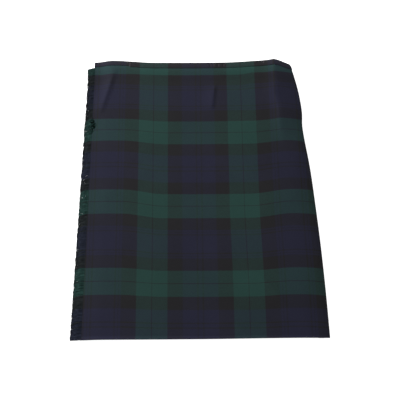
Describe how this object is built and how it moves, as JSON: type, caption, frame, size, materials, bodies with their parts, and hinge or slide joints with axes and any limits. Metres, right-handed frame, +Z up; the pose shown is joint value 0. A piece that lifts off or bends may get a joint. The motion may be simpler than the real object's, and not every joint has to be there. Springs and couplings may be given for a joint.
{
  "type": "scottish kilt",
  "caption": "Tartan kilt laid flat with its aprons up: wrapped front with a fringed edge, narrow waistband, and knife pleats underneath.",
  "frame": {"origin": "middle of the floor under the kilt, at the centre of its box", "axes": "+Z up from the floor through the layers, +Y along the cloth from hem to waist, +X across towards the hip fold, away from the fringe"},
  "size_m": [0.4266, 0.6086, 0.0196],
  "materials": {
    "apron_tartan": "matt twill wool in green, navy and black",
    "under_tartan": "matt twill wool in green, navy and black",
    "pleat_tartan": "matt twill wool in green, navy and black, pressed in knife pleats",
    "band_tartan": "matt twill wool, mostly the dark stripe",
    "fringe_yarn": "loose worsted yarn"
  },
  "bodies": {
    "root": {"front_apron": "apron_tartan", "under_apron": "under_tartan", "pleated_back": "pleat_tartan", "front_waistband": "band_tartan", "under_waistband": "band_tartan", "back_waistband": "band_tartan", "apron_fringe": "fringe_yarn"}
  },
  "joints": []
}
